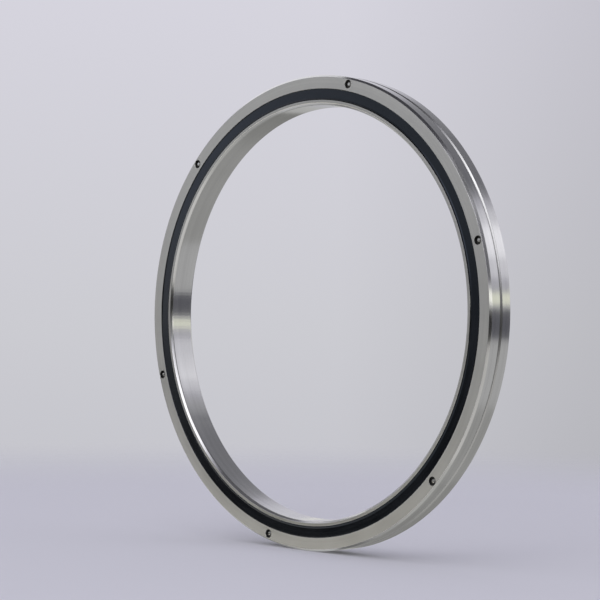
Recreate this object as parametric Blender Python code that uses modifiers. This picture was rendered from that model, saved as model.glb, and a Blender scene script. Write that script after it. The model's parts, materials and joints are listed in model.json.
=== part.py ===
"""Thin-section crossed-roller slewing ring bearing, modelled as an assembly.

The bearing stands upright: its axis lies along world Y, its front face looks towards
-Y, +Z is up, and the origin is the middle of the bearing. Lengths are in metres.

Every piece is drawn in the bearing's own frame, whose +Z is the axis towards the front
and whose +Y is up. The empty "bearing_axis" turns that frame upright in the world.
"""

import math

import bmesh
import bpy
from mathutils import Matrix, Vector

# --- Driving sizes -------------------------------------------------------------------
BORE_DIAMETER = 0.180
WIDTH = 0.013
INNER_SECTION = 0.005  # bore to pitch circle, measured along a radius
OUTER_SECTION = 0.008  # pitch circle to outside diameter, measured along a radius
RING_CHAMFER = 0.0008  # on the bore and on the outside diameter

ROLLER_DIAMETER = 0.004
ROLLER_END_PLAY = 0.0002  # a crossed roller is this much shorter than it is thick
ROLLER_COUNT = 48  # even, so that the two crossed directions alternate all the way round
ROLLER_TILT = math.radians(45)

LAND_HALF_GAP = 0.001  # pitch circle to the land of either ring
RELIEF_HALF_WIDTH = 0.00045  # grinding relief at the bottom of each V raceway
RELIEF_DEPTH = 0.00025

SEAL_INNER_REACH = 0.0028  # pitch circle in to the seal seat on the inner ring
SEAL_OUTER_REACH = 0.00215  # pitch circle out to the seal seat in the outer ring
SEAL_THICKNESS = 0.0015
SEAL_RECESS = 0.0002  # how far the seal lies below the ring faces
SEAL_BEAD = 0.00035  # how far the seal's rim snaps into the outer ring
SEAL_BEAD_WIDTH = 0.0006
SEAL_LIP_CHAMFER = 0.0003

CAGE_LAND_CLEARANCE = 0.0005  # cage to the land of either ring

OIL_GROOVE_CHAMFER = 0.0006  # on each half's outer edge, where the two halves meet
OIL_HOLE_DIAMETER = 0.0016
OIL_HOLE_ANGLES = (math.radians(163), math.radians(343))

RIVET_COUNT = 6
RIVET_FIRST_ANGLE = math.radians(13)
RIVET_SHANK_DIAMETER = 0.002
RIVET_HEAD_DIAMETER = 0.0031
RIVET_HEAD_THICKNESS = 0.0006
RIVET_HEAD_CHAMFER = 0.00025
RIVET_RECESS = 0.001  # ring face down to the rivet's head

# --- Clearances ----------------------------------------------------------------------
MESH_GAP = 0.0003  # between pieces that touch on the real bearing
POCKET_CLEARANCE = 0.00035  # roller to the walls of its cage pocket
CUTTER_OVERRUN = 0.001

# --- Facets --------------------------------------------------------------------------
RING_SEGMENTS = 72
ROLLER_SEGMENTS = 16
RIVET_SEGMENTS = 16
OIL_HOLE_SEGMENTS = 12
WELD_DISTANCE = 0.00001

# --- Worked out from the sizes above -------------------------------------------------
BORE_RADIUS = BORE_DIAMETER / 2
PITCH_RADIUS = BORE_RADIUS + INNER_SECTION
OUTER_RADIUS = PITCH_RADIUS + OUTER_SECTION
HALF_WIDTH = WIDTH / 2
HALF_SPLIT = MESH_GAP / 2

ROLLER_LENGTH = ROLLER_DIAMETER - ROLLER_END_PLAY
INNER_LAND_RADIUS = PITCH_RADIUS - LAND_HALF_GAP
OUTER_LAND_RADIUS = PITCH_RADIUS + LAND_HALF_GAP
# The two V raceways face each other and form a square standing on its corner. This is
# half of that square's diagonal, for a roller with a gap all round it.
RACEWAY_REACH = (ROLLER_DIAMETER / 2 + MESH_GAP) * math.sqrt(2)
FLANK_FOOT = RACEWAY_REACH - RELIEF_HALF_WIDTH
FLANK_TOP = RACEWAY_REACH - LAND_HALF_GAP

SEAL_FRONT_Z = HALF_WIDTH - SEAL_RECESS
SEAL_BACK_Z = SEAL_FRONT_Z - SEAL_THICKNESS
SEAL_SEAT_Z = SEAL_BACK_Z - MESH_GAP
SEAL_STEP_RADIUS = PITCH_RADIUS - SEAL_INNER_REACH
SEAL_WALL_RADIUS = PITCH_RADIUS + SEAL_OUTER_REACH

RIVET_CIRCLE_RADIUS = (SEAL_WALL_RADIUS + OUTER_RADIUS) / 2
RIVET_END_Z = HALF_WIDTH - RIVET_RECESS
RIVET_SEAT_Z = RIVET_END_Z - RIVET_HEAD_THICKNESS - MESH_GAP

# A crossed roller reaches this far from its centre along the bearing's axis.
ROLLER_REACH = (ROLLER_DIAMETER + ROLLER_LENGTH) / 2 * math.sin(ROLLER_TILT)
POCKET_HALF_LENGTH = ROLLER_REACH + POCKET_CLEARANCE
POCKET_HALF_WIDTH = ROLLER_DIAMETER / 2 + POCKET_CLEARANCE
# The hoop on either side of the pockets takes half of the room up to the seal.
CAGE_HALF_WIDTH = (POCKET_HALF_LENGTH + SEAL_BACK_Z) / 2
CAGE_HALF_THICKNESS = LAND_HALF_GAP - CAGE_LAND_CLEARANCE

# --- Finishes: base colour, metallic, roughness --------------------------------------
GROUND_STEEL = ((0.50, 0.50, 0.49, 1.0), 1.0, 0.30)
POLISHED_STEEL = ((0.62, 0.63, 0.64, 1.0), 1.0, 0.12)
RIVET_STEEL = ((0.45, 0.44, 0.42, 1.0), 1.0, 0.35)
SEAL_RUBBER = ((0.015, 0.016, 0.020, 1.0), 0.0, 0.50)
CAGE_BRASS = ((0.62, 0.47, 0.20, 1.0), 1.0, 0.35)


def clear_scene():
    """Remove every object of the scene that is open."""
    for item in list(bpy.data.objects):
        bpy.data.objects.remove(item, do_unlink=True)


def new_collection(name):
    """Make a collection under the scene's own."""
    collection = bpy.data.collections.new(name)
    bpy.context.scene.collection.children.link(collection)
    return collection


def new_material(name, finish):
    """Make a Principled material from a finish, which is colour, metallic, roughness."""
    colour, metallic, roughness = finish
    material = bpy.data.materials.new(name)
    material.use_nodes = True
    shader = material.node_tree.nodes["Principled BSDF"]
    shader.inputs["Base Color"].default_value = colour
    shader.inputs["Metallic"].default_value = metallic
    shader.inputs["Roughness"].default_value = roughness
    material.diffuse_color = colour
    return material


def polar(radius, angle, z=0.0):
    """Give the point at this radius and angle, clockwise from the top seen from the front."""
    return Vector((radius * math.sin(angle), radius * math.cos(angle), z))


def add_object(name, mesh, collection, parent):
    """Put a mesh in the scene as an object of this name, under its parent."""
    item = bpy.data.objects.new(name, mesh)
    item.parent = parent
    collection.objects.link(item)
    return item


def finish_piece(item, finish):
    """Give a piece a material of its own and shade it smooth between sharp edges."""
    item.data.materials.append(new_material(item.name, finish))
    item.data.shade_smooth()
    item.data.set_sharp_from_angle(angle=math.radians(30))


def turned_mesh(name, profile, closed):
    """Make a mesh that holds only the outline to turn, from (radius, z) points."""
    mesh = bpy.data.meshes.new(name)
    outline = bmesh.new()
    points = [outline.verts.new((radius, 0.0, z)) for radius, z in profile]
    for first, second in zip(points, points[1:]):
        outline.edges.new((first, second))
    if closed:
        outline.edges.new((points[-1], points[0]))
    outline.to_mesh(mesh)
    outline.free()
    return mesh


def add_turning(item, segments):
    """Turn an object's outline about its own Z axis into a closed solid."""
    turning = item.modifiers.new("turning", "SCREW")
    turning.axis = "Z"
    turning.angle = math.tau
    turning.steps = segments
    turning.render_steps = segments
    turning.use_merge_vertices = True
    turning.merge_threshold = WELD_DISTANCE
    turning.use_smooth_shade = True


def turned_piece(name, profile, closed, segments, collection, parent):
    """Make an object by turning an outline that runs down its outer side."""
    item = add_object(name, turned_mesh(name, profile, closed), collection, parent)
    add_turning(item, segments)
    return item


def add_cut(item, name, cutter=None, cutters=None):
    """Cut a piece with one object, or with every object of a collection."""
    cut = item.modifiers.new(name, "BOOLEAN")
    cut.operation = "DIFFERENCE"
    cut.solver = "EXACT"
    if cutters is None:
        cut.object = cutter
    else:
        cut.operand_type = "COLLECTION"
        cut.collection = cutters


def hide_cutter(item):
    """Show a cutter as wire and keep it out of renders."""
    item.hide_render = True
    item.display_type = "WIRE"


def outer_half_profile():
    """Outline of the front half of the outer ring, down its outer side and back up inside."""
    return [
        (OUTER_RADIUS - RING_CHAMFER, HALF_WIDTH),
        (OUTER_RADIUS, HALF_WIDTH - RING_CHAMFER),
        (OUTER_RADIUS, HALF_SPLIT + OIL_GROOVE_CHAMFER),
        (OUTER_RADIUS - OIL_GROOVE_CHAMFER, HALF_SPLIT),
        (PITCH_RADIUS + FLANK_FOOT + RELIEF_DEPTH, HALF_SPLIT),
        (PITCH_RADIUS + FLANK_FOOT + RELIEF_DEPTH, RELIEF_HALF_WIDTH),
        (PITCH_RADIUS + FLANK_FOOT, RELIEF_HALF_WIDTH),
        (OUTER_LAND_RADIUS, FLANK_TOP),
        (OUTER_LAND_RADIUS, SEAL_SEAT_Z),
        (SEAL_WALL_RADIUS + SEAL_BEAD, SEAL_SEAT_Z),
        (SEAL_WALL_RADIUS + SEAL_BEAD, SEAL_SEAT_Z + SEAL_BEAD_WIDTH + MESH_GAP),
        (SEAL_WALL_RADIUS, SEAL_SEAT_Z + SEAL_BEAD_WIDTH + SEAL_BEAD + MESH_GAP),
        (SEAL_WALL_RADIUS, HALF_WIDTH),
    ]


def inner_half_profile():
    """Outer side of the inner ring from the front face down to the raceway's middle."""
    return [
        (SEAL_STEP_RADIUS, HALF_WIDTH),
        (SEAL_STEP_RADIUS, SEAL_SEAT_Z),
        (INNER_LAND_RADIUS, SEAL_SEAT_Z),
        (INNER_LAND_RADIUS, FLANK_TOP),
        (PITCH_RADIUS - FLANK_FOOT, RELIEF_HALF_WIDTH),
        (PITCH_RADIUS - FLANK_FOOT - RELIEF_DEPTH, RELIEF_HALF_WIDTH),
    ]


def mirrored(profile):
    """Give an outline's mirror image in the bearing's middle plane, still in order."""
    return [(radius, -z) for radius, z in reversed(profile)]


def inner_ring_profile():
    """Outline of the whole inner ring: its outer side, then its bore."""
    outside = inner_half_profile()
    bore = [
        (BORE_RADIUS, HALF_WIDTH - RING_CHAMFER),
        (BORE_RADIUS + RING_CHAMFER, HALF_WIDTH),
    ]
    return outside + mirrored(outside) + mirrored(bore) + bore


def seal_profile():
    """Outline of the front seal: its rim with the snap bead, its back, and its lip."""
    rim_radius = SEAL_WALL_RADIUS - MESH_GAP
    lip_radius = SEAL_STEP_RADIUS + MESH_GAP
    bead_top = SEAL_BACK_Z + SEAL_BEAD_WIDTH
    return [
        (rim_radius, SEAL_FRONT_Z),
        (rim_radius, bead_top + SEAL_BEAD),
        (rim_radius + SEAL_BEAD, bead_top),
        (rim_radius + SEAL_BEAD, SEAL_BACK_Z),
        (lip_radius, SEAL_BACK_Z),
        (lip_radius, SEAL_FRONT_Z - SEAL_LIP_CHAMFER),
        (lip_radius + SEAL_LIP_CHAMFER, SEAL_FRONT_Z),
    ]


def cage_profile():
    """Outline of the cage's plain hoop, before its pockets are cut."""
    outer = PITCH_RADIUS + CAGE_HALF_THICKNESS
    inner = PITCH_RADIUS - CAGE_HALF_THICKNESS
    return [
        (outer, CAGE_HALF_WIDTH),
        (outer, -CAGE_HALF_WIDTH),
        (inner, -CAGE_HALF_WIDTH),
        (inner, CAGE_HALF_WIDTH),
    ]


def rivet_profile():
    """Outline of a rivet with a head at either end, from its axis out and back."""
    head_radius = RIVET_HEAD_DIAMETER / 2
    shank_radius = RIVET_SHANK_DIAMETER / 2
    front_head = [
        (0.0, RIVET_END_Z),
        (head_radius - RIVET_HEAD_CHAMFER, RIVET_END_Z),
        (head_radius, RIVET_END_Z - RIVET_HEAD_CHAMFER),
        (head_radius, RIVET_END_Z - RIVET_HEAD_THICKNESS),
        (shank_radius, RIVET_END_Z - RIVET_HEAD_THICKNESS),
    ]
    return front_head + mirrored(front_head)


def rivet_hole_profile():
    """Outline of the stepped hole that holds a rivet, longer than the ring is wide."""
    head_radius = RIVET_HEAD_DIAMETER / 2 + MESH_GAP
    shank_radius = RIVET_SHANK_DIAMETER / 2 + MESH_GAP
    front = [
        (0.0, HALF_WIDTH + CUTTER_OVERRUN),
        (head_radius, HALF_WIDTH + CUTTER_OVERRUN),
        (head_radius, RIVET_SEAT_Z),
        (shank_radius, RIVET_SEAT_Z),
    ]
    return front + mirrored(front)


def rivet_angles():
    """Angles of the rivets, evenly spaced round the ring."""
    step = math.tau / RIVET_COUNT
    return [RIVET_FIRST_ANGLE + step * index for index in range(RIVET_COUNT)]


def roller_angles():
    """Angles of the rollers, evenly spaced round the pitch circle."""
    step = math.tau / ROLLER_COUNT
    return [step * index for index in range(ROLLER_COUNT)]


def build_rivet_hole_cutters(parent):
    """Make one stepped cutter for each rivet hole."""
    cutters = new_collection("rivet_hole_cutters")
    for number, angle in enumerate(rivet_angles(), start=1):
        name = f"rivet_hole_cutter_{number}"
        cutter = turned_piece(name, rivet_hole_profile(), False, RIVET_SEGMENTS, cutters, parent)
        cutter.location = polar(RIVET_CIRCLE_RADIUS, angle)
        hide_cutter(cutter)
    return cutters


def build_oil_hole_cutters(parent):
    """Make one radial cutter for each oil hole, which lies on the split between the halves."""
    cutters = new_collection("oil_hole_cutters")
    start = OUTER_LAND_RADIUS
    end = OUTER_RADIUS + CUTTER_OVERRUN
    for number, angle in enumerate(OIL_HOLE_ANGLES, start=1):
        mesh = bpy.data.meshes.new(f"oil_hole_cutter_{number}")
        drill = bmesh.new()
        bmesh.ops.create_cone(
            drill,
            cap_ends=True,
            segments=OIL_HOLE_SEGMENTS,
            radius1=OIL_HOLE_DIAMETER / 2,
            radius2=OIL_HOLE_DIAMETER / 2,
            depth=end - start,
        )
        drill.to_mesh(mesh)
        drill.free()
        cutter = add_object(mesh.name, mesh, cutters, parent)
        cutter.location = polar((start + end) / 2, angle)
        cutter.rotation_euler = polar(1.0, angle).to_track_quat("Z", "Y").to_euler()
        hide_cutter(cutter)
    return cutters


def build_pocket_cutter(collection, parent):
    """Make the cutter for every cage pocket: one box on the pitch circle for each roller."""
    mesh = bpy.data.meshes.new("cage_pocket_cutter")
    boxes = bmesh.new()
    size = Vector((2 * POCKET_HALF_WIDTH, 2 * LAND_HALF_GAP, 2 * POCKET_HALF_LENGTH))
    for angle in roller_angles():
        turn = Matrix.Rotation(-angle, 4, "Z")
        place = Matrix.Translation(polar(PITCH_RADIUS, angle)) @ turn @ Matrix.Diagonal(size.to_4d())
        bmesh.ops.create_cube(boxes, size=1.0, matrix=place)
    boxes.to_mesh(mesh)
    boxes.free()
    cutter = add_object(mesh.name, mesh, collection, parent)
    hide_cutter(cutter)
    return cutter


def build_outer_ring(pieces, parent):
    """Build the two halves of the outer ring, with rivet holes, oil groove and oil holes."""
    rivet_holes = build_rivet_hole_cutters(parent)
    oil_holes = build_oil_hole_cutters(parent)
    front = outer_half_profile()
    for name, profile in (("outer_ring_front", front), ("outer_ring_rear", mirrored(front))):
        half = turned_piece(name, profile, True, RING_SEGMENTS, pieces, parent)
        add_cut(half, "rivet holes", cutters=rivet_holes)
        add_cut(half, "oil holes", cutters=oil_holes)
        finish_piece(half, GROUND_STEEL)


def build_inner_ring(pieces, parent):
    """Build the one-piece inner ring with its V raceway and its two seal seats."""
    ring = turned_piece("inner_ring", inner_ring_profile(), True, RING_SEGMENTS, pieces, parent)
    finish_piece(ring, POLISHED_STEEL)


def build_seals(pieces, parent):
    """Build the two rubber seals, which close the gap between the rings."""
    front = seal_profile()
    for name, profile in (("seal_front", front), ("seal_rear", mirrored(front))):
        seal = turned_piece(name, profile, True, RING_SEGMENTS, pieces, parent)
        finish_piece(seal, SEAL_RUBBER)


def build_rivets(pieces, parent):
    """Build the rivets that hold the two halves of the outer ring together."""
    for number, angle in enumerate(rivet_angles(), start=1):
        name = f"ring_rivet_{number}"
        rivet = turned_piece(name, rivet_profile(), False, RIVET_SEGMENTS, pieces, parent)
        rivet.location = polar(RIVET_CIRCLE_RADIUS, angle)
        finish_piece(rivet, RIVET_STEEL)


def build_cage(pieces, cutters, parent):
    """Build the window cage, which spaces the rollers round the pitch circle."""
    cage = turned_piece("roller_cage", cage_profile(), True, RING_SEGMENTS, pieces, parent)
    add_cut(cage, "pockets", cutter=build_pocket_cutter(cutters, parent))
    finish_piece(cage, CAGE_BRASS)


def build_rollers(pieces, parent):
    """Build the rollers, whose axes lean towards the front and the rear by turns."""
    for number, angle in enumerate(roller_angles(), start=1):
        lean = ROLLER_TILT if number % 2 else -ROLLER_TILT
        axis = polar(math.cos(lean), angle, math.sin(lean))
        mesh = bpy.data.meshes.new(f"roller_{number:02d}")
        shape = bmesh.new()
        bmesh.ops.create_cone(
            shape,
            cap_ends=True,
            segments=ROLLER_SEGMENTS,
            radius1=ROLLER_DIAMETER / 2,
            radius2=ROLLER_DIAMETER / 2,
            depth=ROLLER_LENGTH,
        )
        shape.to_mesh(mesh)
        shape.free()
        roller = add_object(mesh.name, mesh, pieces, parent)
        roller.location = polar(PITCH_RADIUS, angle)
        roller.rotation_euler = axis.to_track_quat("Z", "Y").to_euler()
        finish_piece(roller, POLISHED_STEEL)


def build_axis(name, collection, parent=None):
    """Make an empty on the bearing's axis, which holds the pieces that turn together."""
    axis = bpy.data.objects.new(name, None)
    axis.empty_display_size = BORE_RADIUS
    axis.parent = parent
    collection.objects.link(axis)
    return axis


def main():
    """Build the whole bearing."""
    clear_scene()
    pieces = new_collection("slewing_ring_bearing")
    cutters = new_collection("cutters")
    bearing_axis = build_axis("bearing_axis", pieces)
    bearing_axis.rotation_euler = (math.pi / 2, 0.0, 0.0)
    inner_ring_axis = build_axis("inner_ring_axis", pieces, bearing_axis)
    cage_axis = build_axis("cage_axis", pieces, bearing_axis)
    build_outer_ring(pieces, bearing_axis)
    build_seals(pieces, bearing_axis)
    build_rivets(pieces, bearing_axis)
    build_inner_ring(pieces, inner_ring_axis)
    build_cage(pieces, cutters, cage_axis)
    build_rollers(pieces, cage_axis)


if __name__ == "__main__":
    main()
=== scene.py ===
"""Looks of a thin-section crossed-roller slewing ring bearing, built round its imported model.

The bearing stands upright: its axis is world Y, its front face looks towards -Y, and +Z is
up. Lengths are in metres. An outline is a list of (radius, height) points, where height is
measured from the bearing's middle plane towards the face that the piece belongs to.
"""

import json
import logging
import math
from collections.abc import Callable, Sequence
from dataclasses import dataclass
from enum import Enum
from functools import cache
from typing import Any

import bmesh
import bpy
from bmesh.types import BMEdge, BMesh
from bpy.types import Material, Node, NodeSocket, Object, World
from mathutils import Matrix, Vector


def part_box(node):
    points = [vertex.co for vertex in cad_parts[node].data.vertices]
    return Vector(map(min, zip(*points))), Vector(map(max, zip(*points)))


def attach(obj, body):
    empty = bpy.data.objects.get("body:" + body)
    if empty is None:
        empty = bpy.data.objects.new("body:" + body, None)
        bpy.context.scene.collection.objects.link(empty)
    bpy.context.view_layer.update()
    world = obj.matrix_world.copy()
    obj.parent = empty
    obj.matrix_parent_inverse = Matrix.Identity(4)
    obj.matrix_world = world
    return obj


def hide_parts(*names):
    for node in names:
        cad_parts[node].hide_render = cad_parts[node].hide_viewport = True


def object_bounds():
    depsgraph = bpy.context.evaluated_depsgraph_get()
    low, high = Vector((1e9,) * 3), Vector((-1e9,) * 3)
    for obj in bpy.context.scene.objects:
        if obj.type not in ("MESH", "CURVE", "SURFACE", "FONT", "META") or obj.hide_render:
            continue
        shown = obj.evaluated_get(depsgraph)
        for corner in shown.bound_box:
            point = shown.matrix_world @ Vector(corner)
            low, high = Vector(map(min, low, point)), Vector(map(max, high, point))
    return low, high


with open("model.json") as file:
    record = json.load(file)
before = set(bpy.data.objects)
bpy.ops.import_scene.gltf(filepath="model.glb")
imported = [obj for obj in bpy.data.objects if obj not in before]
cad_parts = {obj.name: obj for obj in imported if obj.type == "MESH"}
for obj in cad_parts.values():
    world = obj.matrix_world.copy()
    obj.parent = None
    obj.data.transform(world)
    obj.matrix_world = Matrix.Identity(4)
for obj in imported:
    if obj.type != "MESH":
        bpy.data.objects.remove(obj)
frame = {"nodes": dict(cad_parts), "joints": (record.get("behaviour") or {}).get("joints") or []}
CAD_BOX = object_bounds()

LOG = logging.getLogger("slewing_ring_bearing")

MM = 0.001
RING_STEPS = 360
ROLLER_STEPS = 32
HOLE_STEPS = 48
FLOOR_STEPS = 96
WELD = 0.001 * MM  # points nearer than this are one point
NEAR = 0.01 * MM  # faces nearer than this to a surface belong to it
FLAT = 0.98  # share of a normal along the axis above which a face looks along it
OVERRUN = 1.0 * MM  # how far a cutter reaches past the surface that it opens
STILL_SHARP = math.radians(25)  # edges that turn by more than this get rounded
CREASE = math.radians(32)  # edges that turn by more than this are shaded sharp
LARGE_FACES_LEAD = 100  # weight at which large faces set the normals at their corners
PLAIN_ROUND, FINE_ROUND, FINEST_ROUND = 2, 3, 4  # facets across a rounded edge

Outline = list[tuple[float, float]]
Colour = tuple[float, float, float]


# --- Mesh work -----------------------------------------------------------------------


class Side(Enum):
    """The two faces of the bearing; the value is the way each one looks along Y."""

    FRONT = -1.0
    REAR = 1.0

    @property
    def word(self) -> str:
        """Name of the side in lower case."""
        return self.name.lower()


def mirrored(outline: Outline) -> Outline:
    """Mirror an outline in the middle plane, in reverse order, so that it carries one on."""
    return [(radius, -height) for radius, height in reversed(outline)]


def turned(
    outline: Outline, steps: int, side: Side = Side.REAR, centre: Vector = Vector()
) -> BMesh:
    """Turn a closed outline into a solid about an axis that runs along Y.

    Args:
        outline: Points of (radius, height), taken round the section.
        steps: Number of steps in the full turn.
        side: The side that heights run towards.
        centre: A point on the axis.

    Returns:
        The solid, with its faces pointing out.
    """
    solid = bmesh.new()
    points = [
        solid.verts.new((centre.x + radius, centre.y + side.value * height, centre.z))
        for radius, height in outline
    ]
    edges = [solid.edges.new(pair) for pair in zip(points, points[1:] + points[:1])]
    bmesh.ops.spin(
        solid,
        geom=points + edges,
        cent=centre,
        axis=(0.0, 1.0, 0.0),
        angle=math.tau,
        steps=steps,
        use_merge=True,
    )
    bmesh.ops.remove_doubles(solid, verts=solid.verts, dist=WELD)
    bmesh.ops.recalc_face_normals(solid, faces=solid.faces)
    return solid


def rod(radius: float, length: float, steps: int, place: Matrix) -> BMesh:
    """Make a plain cylinder.

    Args:
        radius: Radius of the cylinder.
        length: Length of the cylinder.
        steps: Number of facets round it.
        place: Where it goes, from upright at the origin.

    Returns:
        The solid.
    """
    solid = bmesh.new()
    bmesh.ops.create_cone(
        solid,
        cap_ends=True,
        segments=steps,
        radius1=radius,
        radius2=radius,
        depth=length,
        matrix=place,
    )
    return solid


def off_axis(point: Vector) -> float:
    """Measure how far a point is from the bearing's axis."""
    return math.hypot(point.x, point.z)


def corner(solid: BMesh, radius: float, height: float) -> list[BMEdge]:
    """Find the circular edge of a turned solid at one point of its outline.

    Args:
        solid: A solid turned about the bearing's axis.
        radius: Radius of the edge.
        height: Distance of the edge from the middle plane, towards either face.

    Returns:
        The edges that make up the circle.
    """

    def on_circle(point: Vector) -> bool:
        return (
            abs(off_axis(point) - radius) < 2 * WELD
            and abs(abs(point.y) - abs(height)) < 2 * WELD
        )

    return [edge for edge in solid.edges if all(on_circle(end.co) for end in edge.verts)]


def round_edges(solid: BMesh, edges: list[BMEdge], width: float, segments: int) -> None:
    """Round edges off.

    Args:
        solid: The solid to work on.
        edges: The edges to round.
        width: How far the round reaches from each edge.
        segments: Number of facets across the round.
    """
    bmesh.ops.bevel(
        solid,
        geom=edges,
        offset=width,
        offset_type="OFFSET",
        segments=segments,
        profile=0.5,
        affect="EDGES",
        clamp_overlap=True,
        material=-1,
    )


def break_sharp_edges(solid: BMesh, width: float, segments: int = PLAIN_ROUND) -> None:
    """Round every edge that is still sharp, as a deburred part has them.

    Args:
        solid: The solid to work on.
        width: How far each round reaches.
        segments: Number of facets across each round.
    """
    sharp = [
        edge
        for edge in solid.edges
        if edge.is_manifold and edge.calc_face_angle(0.0) > STILL_SHARP
    ]
    round_edges(solid, sharp, width, segments)


def as_object(name: str, solid: BMesh) -> Object:
    """Put a solid in the scene as an object at the origin.

    Args:
        name: Name of the object and of its mesh.
        solid: The shape, which is freed.

    Returns:
        The new object.
    """
    mesh = bpy.data.meshes.new(name)
    solid.to_mesh(mesh)
    solid.free()
    item = bpy.data.objects.new(name, mesh)
    bpy.context.scene.collection.objects.link(item)
    return item


def bake_modifiers(item: Object) -> None:
    """Apply an object's modifiers to its mesh.

    Args:
        item: The object.
    """
    graph = bpy.context.evaluated_depsgraph_get()
    finished = bpy.data.meshes.new_from_object(
        item.evaluated_get(graph), preserve_all_data_layers=True, depsgraph=graph
    )
    rough = item.data
    item.modifiers.clear()
    item.data = finished
    bpy.data.meshes.remove(rough)
    finished.name = item.name


def cut(item: Object, cutters: list[Object]) -> None:
    """Cut shapes out of an object and remove them.

    Args:
        item: The object to cut.
        cutters: Closed solids, which are used up.
    """
    group = bpy.data.collections.new("cutters")
    for cutter in cutters:
        group.objects.link(cutter)
    cutting = item.modifiers.new("cutting", "BOOLEAN")
    cutting.operation = "DIFFERENCE"
    cutting.solver = "EXACT"
    cutting.operand_type = "COLLECTION"
    cutting.collection = group
    bake_modifiers(item)
    for cutter in cutters:
        bpy.data.meshes.remove(cutter.data)
    bpy.data.collections.remove(group)


def shade(item: Object) -> None:
    """Shade an object smooth, with flat faces kept flat next to their rounded edges.

    Args:
        item: The object.
    """
    item.data.shade_smooth()
    item.data.set_sharp_from_angle(angle=CREASE)
    weighting = item.modifiers.new("face weighted normals", "WEIGHTED_NORMAL")
    weighting.keep_sharp = True
    weighting.weight = LARGE_FACES_LEAD
    bake_modifiers(item)


# --- Finishes ------------------------------------------------------------------------

NOISE_MEAN = 0.5  # middle of a noise pattern's values
NOISE_LOW, NOISE_HIGH = 0.3, 0.7  # a noise pattern seldom leaves this range
SOFT_DETAIL, RICH_DETAIL = 2.0, 3.0  # finer layers in a noise pattern
COLOUR_A, COLOUR_B, MIXED_COLOUR = 6, 7, 2  # a Mix node's inputs and output for colours
AXIAL_SHARE = 0.62  # how much a step along the axis counts against one away from it
ACROSS_LINES = 0.25  # a quarter turn from the direction that grinding lines run in


class NodeSheet:
    """Lays out the nodes of one material or world."""

    def __init__(self, owner: Material | World) -> None:
        """Start from an empty tree.

        Args:
            owner: The material or the world to lay out.
        """
        owner.use_nodes = True
        self.owner = owner
        self.tree = owner.node_tree
        self.tree.nodes.clear()

    def add(
        self, kind: str, sockets: dict[str | int, Any] | None = None, **settings: Any
    ) -> Node:
        """Add a node.

        Args:
            kind: Type name of the node, after "ShaderNode".
            sockets: What goes into each input: a socket to link, a number, or a colour.
            **settings: Properties of the node.

        Returns:
            The new node.
        """
        node = self.tree.nodes.new("ShaderNode" + kind)
        for name, value in settings.items():
            setattr(node, name, value)
        for name, value in (sockets or {}).items():
            if isinstance(value, NodeSocket):
                self.tree.links.new(value, node.inputs[name])
            elif node.inputs[name].type == "RGBA":
                node.inputs[name].default_value = (*value, 1.0)
            else:
                node.inputs[name].default_value = value
        return node

    def math(self, operation: str, *values: Any) -> NodeSocket:
        """Add a Math node, with sockets or numbers in the order of its inputs."""
        sockets = dict(enumerate(values))
        return self.add("Math", sockets, operation=operation).outputs[0]

    def position(self) -> NodeSocket:
        """Give the place on the object in its own coordinates."""
        return self.add("TexCoord").outputs["Object"]

    def radius(self, parts: Any, axes: str) -> NodeSocket:
        """Measure how far a place is from the axis that is left out.

        Args:
            parts: The coordinates of the place, by axis.
            axes: The two axes to measure across.

        Returns:
            The distance.
        """
        flat = self.add("CombineXYZ", {axis: parts[axis] for axis in axes})
        sockets = {0: flat.outputs["Vector"]}
        return self.add("VectorMath", sockets, operation="LENGTH").outputs["Value"]

    def noise(self, coordinates: NodeSocket, detail: float, scale: float = 1.0) -> NodeSocket:
        """Add a noise pattern with so many finer layers, and so many features in a unit."""
        sockets = {"Vector": coordinates, "Scale": scale, "Detail": detail}
        return self.add("TexNoise", sockets).outputs["Fac"]

    def laid_over(self, base: NodeSocket, pattern: NodeSocket, share: float) -> NodeSocket:
        """Lay a share of a noise pattern over a base, whose middle stays where it is."""
        swing = self.math("SUBTRACT", pattern, NOISE_MEAN)
        return self.math("MULTIPLY_ADD", swing, share, base)

    def ramp(
        self,
        value: NodeSocket,
        start: float,
        end: float,
        low: float = 0.0,
        high: float = 1.0,
        curve: str = "LINEAR",
    ) -> NodeSocket:
        """Map a stretch of values onto a range, and hold the range's ends beyond it.

        Args:
            value: The value to map.
            start: Where the stretch starts.
            end: Where the stretch ends.
            low: Result at the start.
            high: Result at the end.
            curve: Interpolation between them.

        Returns:
            The mapped value.
        """
        ends = {"From Min": start, "From Max": end, "To Min": low, "To Max": high}
        sockets = {"Value": value, **ends}
        node = self.add("MapRange", sockets, interpolation_type=curve, clamp=True)
        return node.outputs["Result"]

    def spread(self, value: NodeSocket, low: float, high: float) -> NodeSocket:
        """Spread the middle of a noise pattern over a range."""
        return self.ramp(value, NOISE_LOW, NOISE_HIGH, low, high)

    def tint(self, amount: NodeSocket, low: Colour | NodeSocket, high: Colour) -> NodeSocket:
        """Blend two colours: the first where the amount is 0, the second where it is 1."""
        sockets = {"Factor": amount, COLOUR_A: low, COLOUR_B: high}
        return self.add("Mix", sockets, data_type="RGBA").outputs[MIXED_COLOUR]

    def bump(self, height: NodeSocket, depth: float) -> NodeSocket:
        """Turn a pattern into the normal of a relief that is so many metres deep."""
        return self.add("Bump", {"Height": height, "Distance": depth}).outputs["Normal"]

    def finished(self, shader: Node, output: str = "OutputMaterial") -> Any:
        """Send a shader to the output node and give the material or world, now complete."""
        self.add(output, {"Surface": shader.outputs[0]})
        return self.owner


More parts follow.
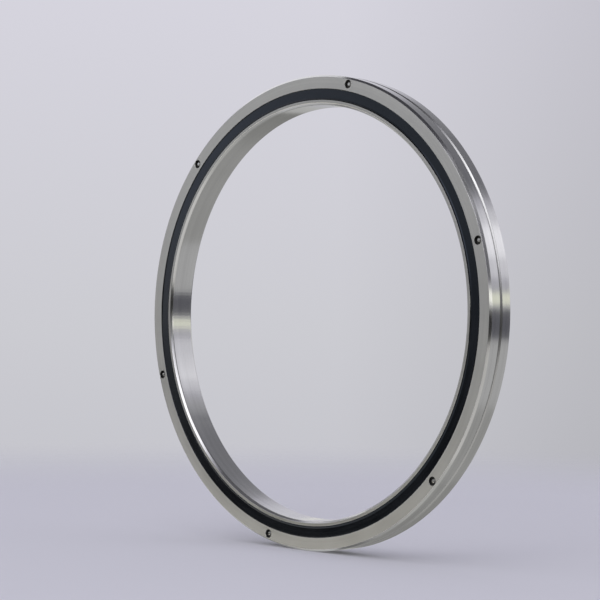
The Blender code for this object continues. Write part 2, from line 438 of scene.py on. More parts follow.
def stretched(sheet: NodeSheet, along: float, across: float) -> NodeSocket:
    """Make coordinates that follow the turned surfaces of the bearing.

    Args:
        sheet: The sheet to draw on.
        along: Scale of the pattern round the bearing.
        across: Scale of the pattern across its turned surfaces.

    Returns:
        Coordinates on which plain noise becomes lines that run round the axis.
    """
    parts = sheet.add("SeparateXYZ", {"Vector": sheet.position()}).outputs
    step = sheet.math("MULTIPLY_ADD", parts["Y"], AXIAL_SHARE, sheet.radius(parts, "XZ"))
    ringed = sheet.add("CombineXYZ", {"X": parts["X"], "Y": step, "Z": parts["Z"]})
    sockets = {"Vector": ringed.outputs["Vector"], "Scale": (along, across, along)}
    return sheet.add("Mapping", sockets).outputs["Vector"]


@dataclass(frozen=True)
class GroundSteel:
    """Bearing steel with the fine lines that grinding leaves round the axis."""

    name: str
    dark: Colour
    light: Colour
    smoothest: float
    roughest: float
    line_depth: float
    anisotropy: float = 0.0
    line_scale: tuple[float, float] = (18.0, 7000.0)
    line_share: float = 0.5
    band_scale: tuple[float, float] = (9.0, 900.0)
    cloud_scale: float = 45.0
    cloud_share: float = 0.6

    def material(self) -> Material:
        """Make the material.

        Returns:
            The new material.
        """
        sheet = NodeSheet(bpy.data.materials.new(self.name))
        lines = sheet.noise(stretched(sheet, *self.line_scale), RICH_DETAIL)
        bands = sheet.noise(stretched(sheet, *self.band_scale), SOFT_DETAIL)
        clouds = sheet.noise(sheet.position(), RICH_DETAIL, self.cloud_scale)
        wear = sheet.laid_over(bands, clouds, self.cloud_share)
        both = sheet.laid_over(wear, lines, self.line_share)
        tangent = sheet.add("Tangent", direction_type="RADIAL", axis="Y")
        skin = {
            "Base Color": sheet.tint(sheet.spread(both, 0.0, 1.0), self.dark, self.light),
            "Metallic": 1.0,
            "Roughness": sheet.spread(wear, self.smoothest, self.roughest),
            "Anisotropic": self.anisotropy,
            "Anisotropic Rotation": ACROSS_LINES,
            "Normal": sheet.bump(lines, self.line_depth),
            "Tangent": tangent.outputs["Tangent"],
        }
        return sheet.finished(sheet.add("BsdfPrincipled", skin))


@dataclass(frozen=True)
class SealRubber:
    """Moulded nitrile rubber: near black, with a satin skin, a fine grain, and a blue tint on its
    shine that paints a reflection of cool light.
    """

    name: str = "seal_rubber_moulded"
    dark: Colour = (0.0026, 0.0028, 0.0032)
    light: Colour = (0.0050, 0.0054, 0.0062)
    smoothest: float = 0.18
    roughest: float = 0.24
    shine: float = 0.49
    # blue tint on the shine: a painted reflection of cool light
    painted_shine_tint: Colour = (0.66, 0.79, 1.0)
    grain_depth: float = 0.004 * MM
    grain_scale: float = 6000.0
    flow_scale: tuple[float, float] = (30.0, 1200.0)
    cloud_scale: float = 60.0
    cloud_share: float = 0.8

    def material(self) -> Material:
        """Make the material.

        Returns:
            The new material.
        """
        sheet = NodeSheet(bpy.data.materials.new(self.name))
        place = sheet.position()
        grain = sheet.noise(place, SOFT_DETAIL, self.grain_scale)
        flow = sheet.noise(stretched(sheet, *self.flow_scale), SOFT_DETAIL)
        clouds = sheet.noise(place, RICH_DETAIL, self.cloud_scale)
        dust = sheet.laid_over(flow, clouds, self.cloud_share)
        skin = {
            "Base Color": sheet.tint(sheet.spread(dust, 0.0, 1.0), self.dark, self.light),
            "Roughness": sheet.spread(dust, self.smoothest, self.roughest),
            "Specular IOR Level": self.shine,
            "Specular Tint": self.painted_shine_tint,
            "Normal": sheet.bump(grain, self.grain_depth),
        }
        return sheet.finished(sheet.add("BsdfPrincipled", skin))


SIDE_FACE = GroundSteel(
    name="side_face_steel",
    dark=(0.54, 0.54, 0.52),
    light=(0.60, 0.60, 0.58),
    smoothest=0.40,
    roughest=0.50,
    line_depth=0.0010 * MM,
    anisotropy=0.2,
)
BRIGHT_RIM = GroundSteel(
    name="bright_rim_steel",
    dark=(0.58, 0.58, 0.58),
    light=(0.64, 0.64, 0.64),
    smoothest=0.155,
    roughest=0.185,
    line_depth=0.0004 * MM,
    anisotropy=0.65,
)
INNER_FACE = GroundSteel(
    name="inner_face_steel",
    dark=(0.46, 0.46, 0.44),
    light=(0.52, 0.52, 0.50),
    smoothest=0.36,
    roughest=0.46,
    line_depth=0.0010 * MM,
    anisotropy=0.2,
)
# Turned steel of the oil groove, with its colour darker than the rim's as painted shade of the
# groove's deep flanks.
GROOVE_STEEL_PAINTED_SHADE = GroundSteel(
    name="turned_groove_steel_painted_shade",
    dark=(0.40, 0.40, 0.40),
    light=(0.45, 0.45, 0.45),
    smoothest=0.20,
    roughest=0.26,
    line_depth=0.0006 * MM,
    anisotropy=0.5,
)
# Steel of the rivet holes' walls and of the rivets below their flat ends: duller than the ground
# faces, with its colour darkened as painted shade of these recesses.
RECESS_STEEL_PAINTED_SHADE = GroundSteel(
    name="recess_steel_painted_shade",
    dark=(0.16, 0.16, 0.16),
    light=(0.24, 0.24, 0.23),
    smoothest=0.42,
    roughest=0.55,
    line_depth=0.002 * MM,
)
RACEWAY = GroundSteel(
    name="raceway_steel",
    dark=(0.62, 0.62, 0.62),
    light=(0.66, 0.66, 0.66),
    smoothest=0.10,
    roughest=0.14,
    line_depth=0.0003 * MM,
    anisotropy=0.3,
)
RIVET_END = GroundSteel(
    name="rivet_end_steel",
    dark=(0.54, 0.54, 0.53),
    light=(0.60, 0.60, 0.59),
    smoothest=0.24,
    roughest=0.32,
    line_depth=0.0015 * MM,
)
LAPPED_ROLLER = GroundSteel(
    name="lapped_roller_steel",
    dark=(0.64, 0.65, 0.66),
    light=(0.68, 0.69, 0.70),
    smoothest=0.08,
    roughest=0.12,
    line_depth=0.0002 * MM,
)
CAGE_BRASS = GroundSteel(
    name="cage_brass_machined",
    dark=(0.58, 0.43, 0.17),
    light=(0.66, 0.50, 0.22),
    smoothest=0.24,
    roughest=0.34,
    line_depth=0.0010 * MM,
    anisotropy=0.2,
)
RUBBER = SealRubber()


Finish = GroundSteel | SealRubber
Test = Callable[[Vector, Vector], bool]
Zone = tuple[Finish, Test]


@cache
def material_of(finish: Finish) -> Material:
    """Give the material of a finish, which is made once."""
    return finish.material()


def dress(item: Object, zones: Sequence[Zone]) -> None:
    """Give each face of a piece the finish of the first zone that it lies in.

    Args:
        item: The piece.
        zones: Finishes, each with a test of a face's centre and normal; the last takes the rest.
    """
    item.data.materials.clear()
    for finish, _ in zones:
        item.data.materials.append(material_of(finish))
    for face in item.data.polygons:
        found = [number for number, zone in enumerate(zones) if zone[1](face.center, face.normal)]
        face.material_index = found[0] if found else len(zones) - 1


def anywhere(_centre: Vector, _normal: Vector) -> bool:
    """Test of a zone that takes every face."""
    return True


def flat_beyond(height: float) -> Test:
    """Make the test of a zone of faces that look along the axis and stand far enough out.

    Args:
        height: Least distance of such a face from the middle plane.

    Returns:
        The test.
    """

    def passes(centre: Vector, normal: Vector) -> bool:
        return abs(normal.y) > FLAT and abs(centre.y) > height

    return passes


def hand_over(item: Object, zones: Sequence[Zone], node: str, body: str) -> None:
    """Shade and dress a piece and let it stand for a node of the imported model.

    Args:
        item: The shaped piece.
        zones: Its finishes.
        node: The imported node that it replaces.
        body: The body that it moves with.
    """
    shade(item)
    dress(item, zones)
    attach(item, body)
    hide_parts(node)
    LOG.info("%s stands for %s: %d faces", item.name, node, len(item.data.polygons))


# --- Sizes shared by the sub-assemblies ------------------------------------------------


def reach(node: str) -> tuple[float, float]:
    """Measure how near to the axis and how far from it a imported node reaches."""
    radii = [off_axis(point.co) for point in frame["nodes"][node].data.vertices]
    return min(radii), max(radii)


@dataclass(frozen=True)
class Layout:
    """Radii and heights that the pieces share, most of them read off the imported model."""

    half_width: float
    outside: float
    bore: float
    pitch: float
    outer_land: float
    inner_land: float
    seal_wall: float
    seal_step: float
    seal_front: float
    seal_back: float
    rivet_end: float
    raceway_reach: float = 3.25 * MM
    relief_half_width: float = 0.45 * MM
    relief_depth: float = 0.25 * MM

    @classmethod
    def measured(cls, mesh_gap: float = 0.3 * MM, seal_bead: float = 0.35 * MM) -> "Layout":
        """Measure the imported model.

        Args:
            mesh_gap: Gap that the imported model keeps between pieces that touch.
            seal_bead: How far the seal's rim snaps into the outer ring.

        Returns:
            The layout.
        """
        seal_low, seal_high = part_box("seal_rear")
        lip, bead_rim = reach("seal_rear")
        bore, inner_land = reach("inner_ring")
        outer_land, outside = reach("outer_ring_front")
        roller_low, roller_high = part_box("roller_01")
        return cls(
            half_width=CAD_BOX[1].y,
            outside=outside - 2 * WELD,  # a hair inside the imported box
            bore=bore,
            pitch=(roller_low.z + roller_high.z) / 2,
            outer_land=outer_land,
            inner_land=inner_land,
            seal_wall=bead_rim - seal_bead + mesh_gap,
            seal_step=lip - mesh_gap,
            seal_front=seal_high.y,
            seal_back=seal_low.y,
            rivet_end=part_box("ring_rivet_1")[1].y,
        )

    def in_raceway(self, centre: Vector, _normal: Vector) -> bool:
        """Test of a zone that takes the faces round the rollers."""
        across = abs(off_axis(centre) - self.pitch)
        return max(across, abs(centre.y)) < self.raceway_reach


# --- Sub-assemblies ------------------------------------------------------------------


@dataclass
class OuterRing:
    """The outer ring, split in two halves that meet in the oil groove."""

    layout: Layout
    rim_chamfer: float = 0.88 * MM
    rim_edge_round: float = 0.12 * MM
    face_edge_round: float = 0.04 * MM
    groove_half_width: float = 0.80 * MM
    groove_floor_half_width: float = 0.22 * MM
    groove_depth: float = 0.95 * MM
    split_gap: float = 0.02 * MM
    seat_gap: float = 0.05 * MM
    bead: float = 0.35 * MM
    bead_width: float = 0.60 * MM
    edge_break: float = 0.06 * MM
    rivet_count: int = 6
    rivet_hole_radius: float = 1.85 * MM
    rivet_shank_hole_radius: float = 1.05 * MM
    rivet_seat_depth: float = 0.65 * MM
    rivet_mouth: float = 0.05 * MM
    oil_hole_radius: float = 0.8 * MM
    oil_hole_turns: tuple[float, float] = (math.radians(163), math.radians(343))

    def outline(self) -> Outline:
        """Outline of one half, down its rim, through the raceway and up the seal's seat.

        Returns:
            Points of (radius, height).
        """
        at = self.layout
        foot = at.pitch + at.raceway_reach - at.relief_half_width
        flank = at.raceway_reach - (at.outer_land - at.pitch)
        seat = at.seal_back - self.seat_gap
        return [
            (at.outside - self.rim_chamfer, at.half_width),
            (at.outside, at.half_width - self.rim_chamfer),
            (at.outside, self.groove_half_width),
            (at.outside - self.groove_depth, self.groove_floor_half_width),
            (at.outside - self.groove_depth, self.split_gap / 2),
            (foot + at.relief_depth, self.split_gap / 2),
            (foot + at.relief_depth, at.relief_half_width),
            (foot, at.relief_half_width),
            (at.outer_land, flank),
            (at.outer_land, seat),
            (at.seal_wall + self.bead, seat),
            (at.seal_wall + self.bead, seat + self.bead_width),
            (at.seal_wall, seat + self.bead_width + self.bead),
            (at.seal_wall, at.half_width),
        ]

    def rivet_places(self) -> list[Vector]:
        """Find where the rivets pass through the middle plane.

        Returns:
            A point for each rivet.
        """
        places = []
        for number in range(1, self.rivet_count + 1):
            low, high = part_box(f"ring_rivet_{number}")
            places.append((low + high) / 2)
        return places

    def rivet_hole(self, name: str, place: Vector, side: Side) -> Object:
        """Make the cutter of one stepped rivet hole in one half.

        Args:
            name: Name of the cutter.
            place: Where the rivet's axis meets the middle plane.
            side: The half to cut.

        Returns:
            The cutter.
        """
        at = self.layout
        mouth = self.rivet_hole_radius + self.rivet_mouth
        seat = at.rivet_end - self.rivet_seat_depth
        outline = [
            (0.0, at.half_width + OVERRUN),
            (mouth + OVERRUN, at.half_width + OVERRUN),
            (self.rivet_hole_radius, at.half_width - self.rivet_mouth),
            (self.rivet_hole_radius, seat),
            (self.rivet_shank_hole_radius, seat),
            (self.rivet_shank_hole_radius, -OVERRUN),
            (0.0, -OVERRUN),
        ]
        return as_object(name, turned(outline, HOLE_STEPS, side, place))

    def oil_hole(self, name: str, turn: float) -> Object:
        """Make the cutter of one radial oil hole on the split.

        Args:
            name: Name of the cutter.
            turn: Angle of the hole, clockwise from the top.

        Returns:
            The cutter.
        """
        start = self.layout.outer_land
        end = self.layout.outside + OVERRUN
        outward = Vector((math.sin(turn), 0.0, math.cos(turn)))
        place = Matrix.Translation(outward * (start + end) / 2)
        place @= outward.to_track_quat("Z", "Y").to_matrix().to_4x4()
        return as_object(name, rod(self.oil_hole_radius, end - start, HOLE_STEPS, place))

    def zones(self) -> list[Zone]:
        """Finish zones: matt side face, fine raceway, rivet holes painted dark as shade, groove
        painted darker as shade, bright rest.
        """
        at = self.layout

        def in_rivet_hole(centre: Vector, _normal: Vector) -> bool:
            reach_out = self.rivet_hole_radius + NEAR
            return any(off_axis(centre - hole) < reach_out for hole in holes)

        def in_groove(centre: Vector, _normal: Vector) -> bool:
            floor = at.outside - self.groove_depth - WELD
            return floor < off_axis(centre) and abs(centre.y) < self.groove_half_width

        holes = self.rivet_places()
        return [
            (SIDE_FACE, flat_beyond(at.half_width - NEAR)),
            (RACEWAY, at.in_raceway),
            (RECESS_STEEL_PAINTED_SHADE, in_rivet_hole),
            (GROOVE_STEEL_PAINTED_SHADE, in_groove),
            (BRIGHT_RIM, anywhere),
        ]

    def build_half(self, side: Side) -> None:
        """Build one half and hand it over.

        Args:
            side: The half to build.
        """
        at = self.layout
        solid = turned(self.outline(), RING_STEPS, side)
        rim_edge = corner(solid, at.outside, at.half_width - self.rim_chamfer)
        round_edges(solid, rim_edge, self.rim_edge_round, FINE_ROUND)
        face_edge = corner(solid, at.outside - self.rim_chamfer, at.half_width)
        round_edges(solid, face_edge, self.face_edge_round, PLAIN_ROUND)
        break_sharp_edges(solid, self.edge_break)
        half = as_object(f"{side.word}_outer_half", solid)
        holes = [
            self.rivet_hole(f"rivet_hole_{number}", place, side)
            for number, place in enumerate(self.rivet_places(), start=1)
        ]
        holes += [self.oil_hole(f"oil_hole_{turn:.2f}", turn) for turn in self.oil_hole_turns]
        cut(half, holes)
        hand_over(half, self.zones(), f"outer_ring_{side.word}", "outer_ring")

    def build(self) -> None:
        """Build both halves."""
        for side in Side:
            self.build_half(side)


@dataclass
class InnerRing:
    """The one-piece inner ring with its raceway, its seal steps and its bore."""

    layout: Layout
    bore_chamfer: float = 0.95 * MM
    bore_edge_round: float = 0.28 * MM
    face_edge_round: float = 0.10 * MM
    seat_gap: float = 0.35 * MM
    step_chamfer: float = 0.07 * MM
    edge_break: float = 0.012 * MM

    def outline(self) -> Outline:
        """Outline of the whole ring: its outer side, then its bore.

        Returns:
            Points of (radius, height).
        """
        at = self.layout
        foot = at.pitch - at.raceway_reach + at.relief_half_width
        flank = at.raceway_reach - (at.pitch - at.inner_land)
        seat = at.seal_back - self.seat_gap
        outside = [
            (at.seal_step - self.step_chamfer, at.half_width),
            (at.seal_step, at.half_width - self.step_chamfer),
            (at.seal_step, seat),
            (at.inner_land, seat),
            (at.inner_land, flank),
            (foot, at.relief_half_width),
            (foot - at.relief_depth, at.relief_half_width),
        ]
        bore = [
            (at.bore, at.half_width - self.bore_chamfer),
            (at.bore + self.bore_chamfer, at.half_width),
        ]
        return outside + mirrored(outside) + mirrored(bore) + bore

    def zones(self) -> list[Zone]:
        """Finish zones: matt side faces, fine raceway, bright rest."""
        side = flat_beyond(self.layout.half_width - NEAR)
        return [(INNER_FACE, side), (RACEWAY, self.layout.in_raceway), (BRIGHT_RIM, anywhere)]

    def build(self) -> None:
        """Build the ring, dress it and hand it over."""
        at = self.layout
        solid = turned(self.outline(), RING_STEPS)
        bore_edges = corner(solid, at.bore, at.half_width - self.bore_chamfer)
        round_edges(solid, bore_edges, self.bore_edge_round, FINEST_ROUND)
        face_edges = corner(solid, at.bore + self.bore_chamfer, at.half_width)
        round_edges(solid, face_edges, self.face_edge_round, FINE_ROUND)
        break_sharp_edges(solid, self.edge_break)
        ring = as_object("solid_inner_ring", solid)
        hand_over(ring, self.zones(), "inner_ring", "inner_ring")


@dataclass
class FaceSeals:
    """The two rubber seals that close the gap between the rings."""

    layout: Layout
    rim_gap: float = 0.02 * MM
    lip_gap: float = 0.06 * MM
    bead: float = 0.33 * MM
    bead_width: float = 0.55 * MM
    lip_width: float = 0.60 * MM
    lip_slope: float = 0.22 * MM
    lip_round: float = 0.45 * MM
    web_sink: float = 0.20 * MM
    rim_slope: float = 0.35 * MM
    rim_sink: float = 0.30 * MM
    edge_round: float = 0.10 * MM

    def outline(self) -> Outline:
        """Outline of a seal: its rim with the snap bead, its back, its raised lip and its web.

        Returns:
            Points of (radius, height).
        """
        at = self.layout
        rim = at.seal_wall - self.rim_gap
        lip = at.seal_step + self.lip_gap
        web = at.seal_front - self.web_sink
        bead_top = at.seal_back + self.bead_width
        return [
            (rim - self.rim_slope, web),
            (rim, at.seal_front - self.rim_sink),
            (rim, bead_top + self.bead),
            (rim + self.bead, bead_top),
            (rim + self.bead, at.seal_back),
            (lip, at.seal_back),
            (lip, at.seal_front),
            (lip + self.lip_width, at.seal_front),
            (lip + self.lip_width + self.lip_slope, web),
        ]

    def build(self) -> None:
        """Build both seals and hand them over."""
        at = self.layout
        for side in Side:
            solid = turned(self.outline(), RING_STEPS, side)
            lip_edge = corner(solid, at.seal_step + self.lip_gap, at.seal_front)
            round_edges(solid, lip_edge, self.lip_round, FINEST_ROUND)
            break_sharp_edges(solid, self.edge_round)
            seal = as_object(f"{side.word}_face_seal", solid)
            hand_over(seal, [(RUBBER, anywhere)], f"seal_{side.word}", "outer_ring")


@dataclass
class RingRivets:
    """The rivets that hold the two outer halves together, each with a formed end on both sides."""

    ring: OuterRing
    head_radius: float = 1.55 * MM
    shank_radius: float = 1.0 * MM
    head_thickness: float = 0.62 * MM
    land_radius: float = 0.70 * MM
    proud: float = 0.42 * MM
    crown: float = 0.40 * MM
    rim_round: float = 0.10 * MM

    def half_outline(self) -> Outline:
        """Outline of the half of a rivet towards one face, from its axis out and down.

        Returns:
            Points of (radius, height).
        """
        top = self.ring.layout.rivet_end
        return [
            (0.0, top + self.proud),
            (self.land_radius, top + self.proud),
            (self.head_radius, top - self.crown),
            (self.head_radius, top - self.head_thickness),
            (self.shank_radius, top - self.head_thickness),
        ]

    def zones(self) -> list[Zone]:
        """Finish zones: bright flat ends, the rest painted dark as shade inside the rivet hole."""
        return [(RIVET_END, flat_beyond(self.ring.layout.rivet_end)), (RECESS_STEEL_PAINTED_SHADE, anywhere)]

    def build(self) -> None:
        """Build the rivets and hand them over."""
        outline = self.half_outline()
        for number, place in enumerate(self.ring.rivet_places(), start=1):
            solid = turned(outline + mirrored(outline), HOLE_STEPS, Side.REAR, place)
            break_sharp_edges(solid, self.rim_round, FINE_ROUND)
            rivet = as_object(f"formed_rivet_{number}", solid)
            hand_over(rivet, self.zones(), f"ring_rivet_{number}", "outer_ring")


@dataclass
class CrossedRollers:
    """The rollers, whose axes lean towards the front and the rear by turns."""

    count: int = 48
    radius: float = 2.0 * MM
    length: float = 3.8 * MM
    end_round: float = 0.20 * MM

    def place(self, number: int) -> Matrix:
        """Find where a roller lies, from its joint.

        Args:
            number: Number of the roller, from 1.

        Returns:
            The turn and the shift that lay a roller along its axis.
        """
        joint = next(j for j in frame["joints"] if j["name"] == f"roller_{number:02d}_spin")
        turn = Vector(joint["axis"]).to_track_quat("Z", "Y").to_matrix().to_4x4()
        return Matrix.Translation(joint["pos_m"]) @ turn

    def build(self) -> None:
        """Build the rollers and hand them over."""
        for number in range(1, self.count + 1):
            solid = rod(self.radius, self.length, ROLLER_STEPS, self.place(number))
            break_sharp_edges(solid, self.end_round)
            node = f"roller_{number:02d}"
            roller = as_object(f"crossed_{node}", solid)
            hand_over(roller, [(LAPPED_ROLLER, anywhere)], node, node)


@dataclass
class WindowCage:
    """The brass hoop that spaces the rollers, with a window for each of them."""

    layout: Layout
    rollers: CrossedRollers
    half_thickness: float = 0.5 * MM
    window_half_width: float = 2.35 * MM
    window_half_length: float = 3.11 * MM
    window_round: float = 0.5 * MM
    edge_break: float = 0.08 * MM

    def window(self, number: int) -> Object:
        """Make the cutter of one window.

        Args:
            number: Number of the roller in the window, from 1.

        Returns:
            The cutter.
        """
        at = self.layout
        turn = math.tau * (number - 1) / self.rollers.count
        width, length = 2 * self.window_half_width, 2 * self.window_half_length
        size = Matrix.Diagonal((width, length, 4 * self.half_thickness, 1.0))
        shape = bmesh.new()
        bmesh.ops.create_cube(shape, size=1.0, matrix=size)
        upright = [
            edge
            for edge in shape.edges
            if abs(edge.verts[0].co.z - edge.verts[1].co.z) > WELD
        ]
        round_edges(shape, upright, self.window_round, FINEST_ROUND)
        place = Matrix.Rotation(turn, 4, "Y") @ Matrix.Translation((0.0, 0.0, at.pitch))
        bmesh.ops.transform(shape, matrix=place, verts=shape.verts)
        return as_object(f"window_{number}", shape)

    def build(self) -> None:
        """Build the cage and hand it over."""
        half_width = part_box("roller_cage")[1].y
        outer = self.layout.pitch + self.half_thickness
        inner = self.layout.pitch - self.half_thickness
        outline = [
            (outer, half_width),
            (outer, -half_width),
            (inner, -half_width),
            (inner, half_width),
        ]
        solid = turned(outline, RING_STEPS)
        break_sharp_edges(solid, self.edge_break)
        cage = as_object("window_cage", solid)
        cut(cage, [self.window(number) for number in range(1, self.rollers.count + 1)])
        hand_over(cage, [(CAGE_BRASS, anywhere)], "roller_cage", "cage")


# --- Studio --------------------------------------------------------------------------

CARD_FACET = 5.0  # degrees that one facet of a curved card spans
LEAST_ROWS, LEAST_COLUMNS = 2, 4  # facets that a card has at least, up and across


def direction(azimuth: float, elevation: float) -> Vector:
    """Give the unit vector from the bearing towards a point of the studio.

    Args:
        azimuth: Degrees from -Y towards +X.
        elevation: Degrees above the horizon.

    Returns:
        The unit vector.
    """
    a, e = math.radians(azimuth), math.radians(elevation)
    return Vector((math.sin(a) * math.cos(e), -math.cos(a) * math.cos(e), math.sin(e)))


def seen_by_metal_only(item: Object) -> None:
    """Hide a studio object from everything but reflections."""
    for ray in ("camera", "diffuse", "transmission", "volume_scatter", "shadow"):
        setattr(item, f"visible_{ray}", False)


def glow(name: str, colour: Colour) -> Material:
    """Make a card's material, which shows one even brightness, given by channel."""
    sheet = NodeSheet(bpy.data.materials.new(name))
    return sheet.finished(sheet.add("Emission", {"Color": colour}))


@dataclass(frozen=True)
class Softbox:
    """An area lamp that faces the bearing."""

    name: str
    azimuth: float
    elevation: float
    distance: float
    width: float
    height: float
    brightness: float
    in_reflections: bool = True

    def hang(self) -> None:
        """Put the lamp in the scene."""
        lamp = bpy.data.lights.new(self.name, "AREA")
        lamp.shape = "RECTANGLE"
        lamp.size = self.width
        lamp.size_y = self.height
        lamp.energy = self.brightness * math.pi * self.width * self.height
        item = bpy.data.objects.new(self.name, lamp)
        bpy.context.scene.collection.objects.link(item)
        out = direction(self.azimuth, self.elevation)
        item.location = out * self.distance
        item.rotation_euler = out.to_track_quat("Z", "Y").to_euler()
        item.visible_camera = False
        item.visible_glossy = self.in_reflections


@dataclass(frozen=True)
class SkyPanel:
    """A curved card round the bearing, which only polished metal and the seals' shine show.

    Azimuths are degrees from -Y towards +X, and elevations are degrees above the horizon.
    """

    name: str
    azimuths: tuple[float, float]
    elevations: tuple[float, float]
    colour: Colour
    distance: float = 3.0

    def put_up(self) -> None:
        """Put the card in the scene."""
        card = bmesh.new()
        low, high = self.elevations
        rows = max(LEAST_ROWS, round((high - low) / CARD_FACET))
        points = []
        for row in range(rows + 1):
            out = direction(self.azimuths[0], low + (high - low) * row / rows)
            points.append(card.verts.new(out * self.distance))
        edges = [card.edges.new(pair) for pair in zip(points, points[1:])]
        sweep = self.azimuths[1] - self.azimuths[0]
        bmesh.ops.spin(
            card,
            geom=points + edges,
            axis=(0.0, 0.0, 1.0),
            angle=math.radians(sweep),
            steps=max(LEAST_COLUMNS, round(sweep / CARD_FACET)),
        )
        bmesh.ops.remove_doubles(card, verts=card.verts, dist=WELD)
        item = as_object(self.name, card)
        item.data.materials.append(glow(self.name, self.colour))
        seen_by_metal_only(item)


@dataclass
class Studio:
    """The pale floor and backdrop, the lamps, the cards and the camera."""

    top: Colour = (0.67, 0.66, 0.73)
    middle: Colour = (0.60, 0.60, 0.64)
    bottom: Colour = (0.49, 0.49, 0.54)
    top_height: float = 0.17
    bottom_height: float = -0.20
    shaded_side: float = 0.84
    shade_from: float = 0.02
    shade_to: float = 0.15
    floor_colour: Colour = (0.67, 0.67, 0.72)
    floor_radius: float = 0.80
    floor_solid_radius: float = 0.30
    camera_azimuth: float = 45.40
    camera_elevation: float = -0.90
    camera_roll: float = 0.80
    camera_distance: float = 0.845
    camera_aim: tuple[float, float, float] = (-5.5 * MM, -5.7 * MM, 5.5 * MM)
    lens: float = 116.3

    softboxes: tuple[Softbox, ...] = (
        Softbox("key_overhead", 20.0, 68.0, 2.6, 2.0, 2.0, 0.45, in_reflections=False),
        Softbox("front_window_low", 19.5, 26.8, 2.6, 1.55, 1.30, 1.28),
        Softbox("front_window_high", 15.5, 43.0, 2.6, 0.86, 0.88, 1.24),
        Softbox("rear_right_window", 142.0, 22.0, 2.6, 1.40, 0.95, 0.30),
        Softbox("rear_right_core", 148.0, 22.5, 2.5, 0.70, 0.42, 0.42),
        Softbox("rear_left_window", -142.0, 22.0, 2.6, 0.80, 0.55, 0.12),
    )
    panels: tuple[SkyPanel, ...] = (
        SkyPanel("dark_dome", (0.0, 360.0), (58.0, 90.0), (0.06, 0.06, 0.07)),
        SkyPanel("dark_left_wall", (-86.0, -7.0), (44.0, 58.0), (0.13, 0.13, 0.14)),
        SkyPanel("left_cornice", (-64.0, -7.0), (57.5, 64.5), (0.15, 0.15, 0.16), 2.9),
        SkyPanel("high_left_window", (-128.0, -86.0), (22.0, 58.0), (1.05, 1.05, 1.08)),
        SkyPanel("window_jamb", (33.0, 45.0), (40.0, 58.0), (0.14, 0.14, 0.15)),
        SkyPanel("window_sill", (-5.0, 33.0), (2.2, 10.0), (0.40, 0.40, 0.40)),
        SkyPanel("sill_end", (33.0, 45.5), (2.2, 10.5), (0.13, 0.13, 0.13)),
        SkyPanel("dark_right_wall", (45.0, 60.0), (11.0, 58.0), (0.12, 0.12, 0.13)),
        SkyPanel("right_wall", (60.0, 126.0), (11.0, 58.0), (0.32, 0.32, 0.34)),
        SkyPanel("dark_rear_wall", (158.0, 215.0), (41.0, 58.0), (0.24, 0.24, 0.26)),
        SkyPanel("shaded_rear_wall", (126.0, 158.0), (41.0, 58.0), (0.33, 0.33, 0.35)),
        SkyPanel("rear_wall_corner", (126.0, 154.0), (35.0, 41.0), (0.46, 0.46, 0.48)),
        SkyPanel("dark_rear_corner", (154.0, 188.0), (34.0, 41.0), (0.18, 0.18, 0.20)),
        SkyPanel("left_rear_corner", (188.0, 215.0), (34.0, 41.0), (0.30, 0.30, 0.32)),
        SkyPanel("left_screen", (-131.0, -101.0), (-7.0, 8.0), (0.33, 0.33, 0.34)),
        SkyPanel("left_screen_top", (-113.0, -101.0), (8.0, 22.0), (0.33, 0.33, 0.34)),
        SkyPanel("left_window", (-100.0, -30.0), (1.5, 26.0), (0.50, 0.51, 0.52)),
        SkyPanel("cool_left_window", (-85.0, -46.5), (4.0, 13.0), (0.86, 0.89, 1.00), 2.9),
        SkyPanel("bright_left_window", (-85.0, -47.5), (-0.3, 4.0), (0.98, 0.96, 0.92), 2.9),
        SkyPanel("left_sill", (-85.0, -47.5), (-4.0, -0.3), (0.35, 0.35, 0.34), 2.9),
        SkyPanel("strip_lamp", (46.5, 110.0), (3.7, 8.5), (1.75, 1.75, 1.60)),
        SkyPanel("warm_rail", (110.0, 225.0), (3.3, 7.0), (1.08, 1.09, 0.91)),
        SkyPanel("front_skirting", (-22.0, 90.0), (-9.5, 2.2), (0.02, 0.02, 0.02)),
        SkyPanel("left_skirting", (-100.0, -22.0), (-16.0, 1.5), (0.06, 0.06, 0.06)),
        SkyPanel("rear_skirting", (90.0, 222.0), (-7.5, 2.0), (0.13, 0.13, 0.15)),
        SkyPanel("left_table", (-84.0, -22.0), (-34.0, -14.5), (1.55, 1.47, 1.28)),
        SkyPanel("near_left_table", (-66.0, -30.0), (-52.0, -34.0), (0.88, 0.88, 0.90)),
        SkyPanel("side_left_table", (-100.0, -66.0), (-58.0, -34.0), (0.64, 0.64, 0.65)),
        SkyPanel("left_floor", (-66.0, -22.0), (-90.0, -52.0), (0.48, 0.48, 0.47)),
        SkyPanel("dark_left_floor", (-100.0, -66.0), (-90.0, -58.0), (0.20, 0.20, 0.20)),
        SkyPanel("front_table", (-22.0, 42.0), (-52.0, -9.5), (0.82, 0.81, 0.79)),
        SkyPanel("right_table", (42.0, 90.0), (-52.0, -9.5), (0.66, 0.65, 0.63)),
        SkyPanel("front_floor", (-22.0, 90.0), (-90.0, -52.0), (0.56, 0.56, 0.54)),
        SkyPanel("rear_table", (90.0, 205.0), (-28.0, -7.5), (0.54, 0.54, 0.54)),
        SkyPanel("rear_left_table", (205.0, 222.0), (-28.0, -7.5), (0.27, 0.27, 0.26)),
        SkyPanel("far_left_table", (222.0, 260.0), (-28.0, -7.5), (0.55, 0.55, 0.54)),
        SkyPanel("rear_floor", (90.0, 180.0), (-90.0, -28.0), (0.41, 0.41, 0.40)),
        SkyPanel("rear_left_floor", (180.0, 260.0), (-90.0, -42.5), (0.43, 0.43, 0.42)),
        SkyPanel("rear_left_carpet", (180.0, 260.0), (-42.5, -28.0), (0.30, 0.30, 0.29)),
    )

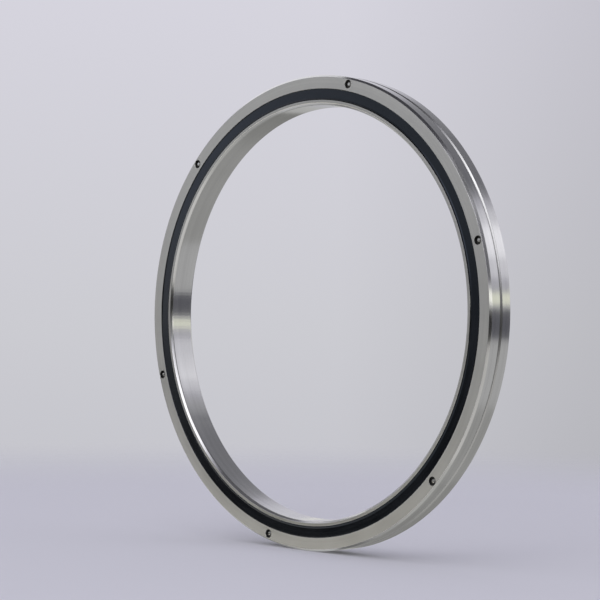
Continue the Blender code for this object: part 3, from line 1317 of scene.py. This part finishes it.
    def light_world(self) -> None:
        """Make the backdrop: pale, lighter towards the top and darker towards the right."""
        world = bpy.data.worlds.new("pale_backdrop")
        bpy.context.scene.world = world
        sheet = NodeSheet(world)
        place = sheet.add("TexCoord").outputs["Generated"]
        height = sheet.add("SeparateXYZ", {"Vector": place}).outputs["Z"]
        above = sheet.tint(sheet.ramp(height, 0.0, self.top_height), self.middle, self.top)
        whole = sheet.tint(sheet.ramp(height, 0.0, self.bottom_height), above, self.bottom)
        to_right = direction(self.camera_azimuth + 90.0, 0.0)
        aside = sheet.add("VectorMath", {0: place, 1: to_right}, operation="DOT_PRODUCT")
        offset = aside.outputs["Value"]
        level = sheet.ramp(offset, self.shade_from, self.shade_to, 1.0, self.shaded_side)
        shader = sheet.add("Background", {"Color": whole, "Strength": level})
        sheet.finished(shader, "OutputWorld")

    def floor_material(self) -> Material:
        """Make the floor's material, which fades into the backdrop towards its edge.

        Returns:
            The new material.
        """
        sheet = NodeSheet(bpy.data.materials.new("pale_floor"))
        parts = sheet.add("SeparateXYZ", {"Vector": sheet.position()}).outputs
        radius = sheet.radius(parts, "XY")
        fade = sheet.ramp(
            radius, self.floor_solid_radius, self.floor_radius, curve="SMOOTHSTEP"
        )
        paint = sheet.add("BsdfDiffuse", {"Color": self.floor_colour}).outputs["BSDF"]
        clear = sheet.add("BsdfTransparent").outputs["BSDF"]
        return sheet.finished(sheet.add("MixShader", {"Fac": fade, 1: paint, 2: clear}))

    def lay_floor(self) -> None:
        """Lay the floor under the bearing."""
        disc = bmesh.new()
        bmesh.ops.create_circle(
            disc, cap_ends=True, segments=FLOOR_STEPS, radius=self.floor_radius
        )
        bmesh.ops.translate(disc, vec=(0.0, 0.0, CAD_BOX[0].z), verts=disc.verts)
        floor = as_object("floor", disc)
        floor.data.materials.append(self.floor_material())
        floor.visible_glossy = False

    def place_camera(self) -> None:
        """Place the camera."""
        data = bpy.data.cameras.new("camera")
        data.lens = self.lens
        camera = bpy.data.objects.new("camera", data)
        bpy.context.scene.collection.objects.link(camera)
        out = direction(self.camera_azimuth, self.camera_elevation)
        place = Matrix.Translation(Vector(self.camera_aim) + out * self.camera_distance)
        place @= Matrix.Rotation(math.radians(self.camera_azimuth), 4, "Z")
        place @= Matrix.Rotation(math.radians(90.0 - self.camera_elevation), 4, "X")
        place @= Matrix.Rotation(math.radians(self.camera_roll), 4, "Z")
        camera.matrix_world = place
        bpy.context.scene.camera = camera

    def build(self) -> None:
        """Set the studio up."""
        bpy.context.scene.view_settings.view_transform = "Standard"
        self.light_world()
        self.lay_floor()
        for lamp in self.softboxes:
            lamp.hang()
        for panel in self.panels:
            panel.put_up()
        self.place_camera()
        LOG.info("studio: %d lamps, %d panels", len(self.softboxes), len(self.panels))


def main() -> None:
    """Build the looks of the whole bearing, then the studio round it."""
    logging.basicConfig(level=logging.INFO, format="%(name)s: %(message)s")
    layout = Layout.measured()
    outer_ring = OuterRing(layout)
    rollers = CrossedRollers()
    for assembly in (
        outer_ring,
        RingRivets(outer_ring),
        FaceSeals(layout),
        InnerRing(layout),
        rollers,
        WindowCage(layout, rollers),
        Studio(),
    ):
        assembly.build()


if __name__ == "__main__":
    main()
